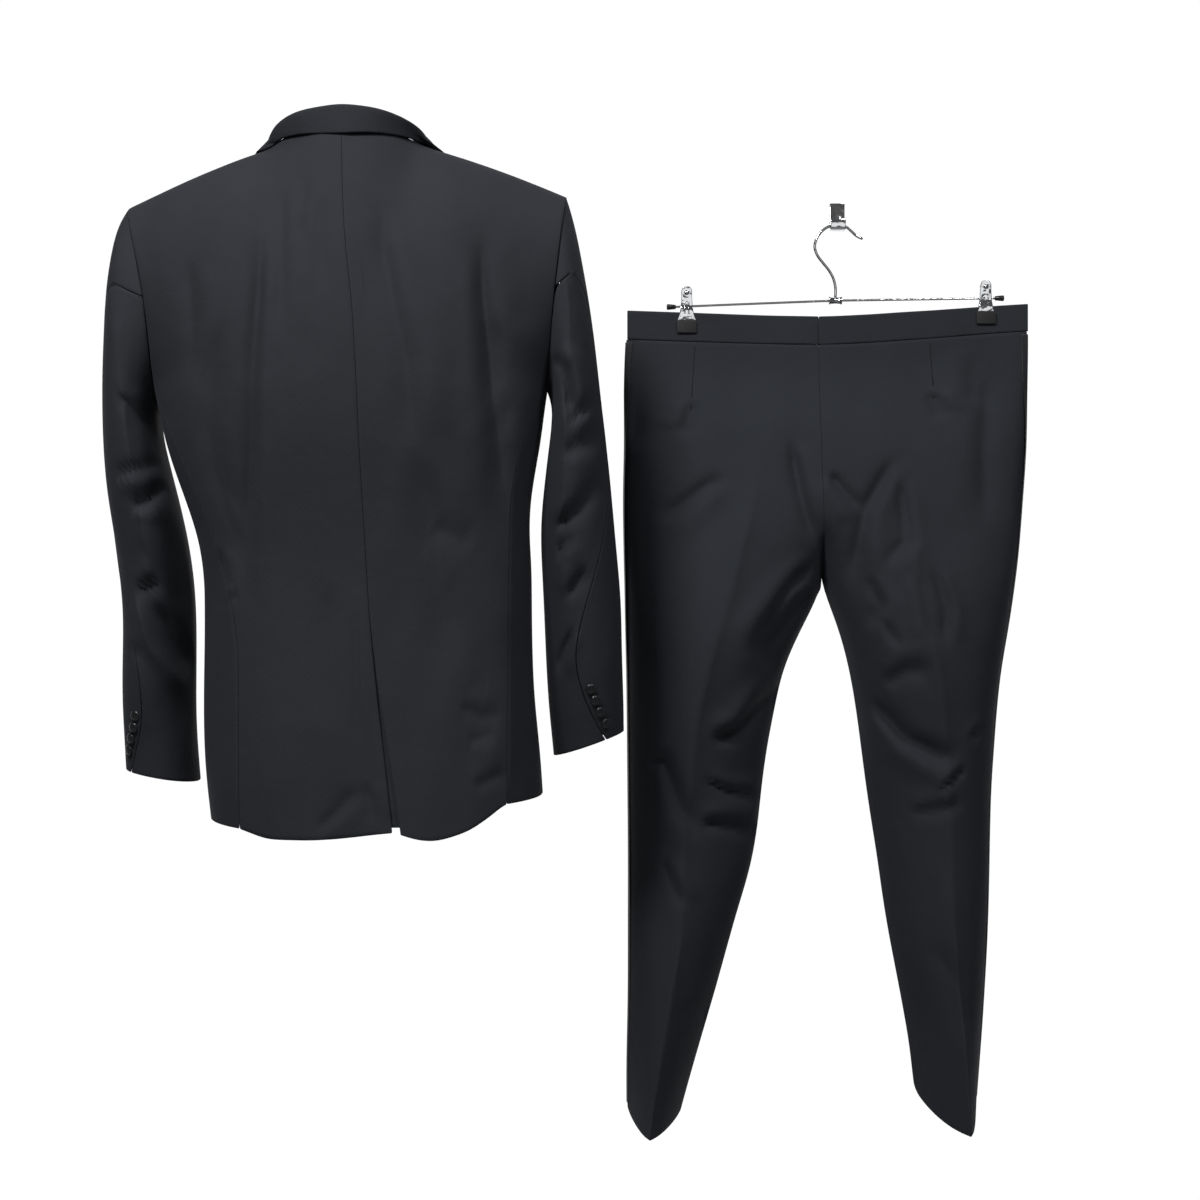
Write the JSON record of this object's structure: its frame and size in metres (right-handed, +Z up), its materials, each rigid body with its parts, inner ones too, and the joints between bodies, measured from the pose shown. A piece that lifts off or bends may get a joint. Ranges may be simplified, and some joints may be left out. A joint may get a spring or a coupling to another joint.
{
  "type": "tuxedo jacket and trousers on a clip hanger with a wall hook",
  "caption": "Two-piece tuxedo seen from the back: a filled-out single-vent jacket, and trousers hung by the waistband from a clip hanger on a wall hook.",
  "frame": {"origin": "where the wall hook carries the hanger's hook, in the trousers' plane", "axes": "+Z up; -Y is the side seen in the picture, the backs of both garments; +X to the right of that view"},
  "size_m": [1.0609, 0.4093, 1.1524],
  "materials": {
    "jacket_wool": "fine matt worsted wool, near-black blue charcoal",
    "trouser_wool": "fine matt worsted wool, near-black blue charcoal",
    "satin_facing": "black silk satin",
    "satin_stripe": "black satin ribbon",
    "satin_button": "satin-covered button, glossy",
    "black_rubber": "matt black rubber pad",
    "black_plastic": "black moulded cap",
    "chrome": "bright chromed steel"
  },
  "bodies": {
    "root": {"back_left": "jacket_wool", "back_right": "jacket_wool", "breast_welt": "jacket_wool", "clip_left_back_jaw": "black_rubber", "clip_left_back_plate": "chrome", "clip_left_front_jaw": "black_rubber", "clip_left_front_plate": "chrome", "clip_left_pivot": "chrome", "clip_right_back_jaw": "black_rubber", "clip_right_back_plate": "chrome", "clip_right_front_jaw": "black_rubber", "clip_right_front_plate": "chrome", "clip_right_pivot": "chrome", "collar": "jacket_wool", "cuff_button_left_1": "satin_button", "cuff_button_left_2": "satin_button", "cuff_button_left_3": "satin_button", "cuff_button_left_4": "satin_button", "cuff_button_right_1": "satin_button", "cuff_button_right_2": "satin_button", "cuff_button_right_3": "satin_button", "cuff_button_right_4": "satin_button", "ferrule": "chrome", "fly": "trouser_wool", "front_button": "satin_button", "front_left": "jacket_wool", "front_right": "jacket_wool", "hanger_hook": "chrome", "lapel_left": "satin_facing", "lapel_right": "satin_facing", "leg_back_left": "trouser_wool", "leg_back_right": "trouser_wool", "leg_front_left": "trouser_wool", "leg_front_right": "trouser_wool", "pocket_left": "satin_facing", "pocket_right": "satin_facing", "rod": "chrome", "rod_cap_left": "black_plastic", "rod_cap_right": "black_plastic", "side_left": "jacket_wool", "side_right": "jacket_wool", "sleeve_left_top": "jacket_wool", "sleeve_left_under": "jacket_wool", "sleeve_right_top": "jacket_wool", "sleeve_right_under": "jacket_wool", "stripe_left": "satin_stripe", "stripe_right": "satin_stripe", "waistband_left": "trouser_wool", "waistband_right": "trouser_wool", "wall_hook": "chrome"}
  },
  "joints": []
}
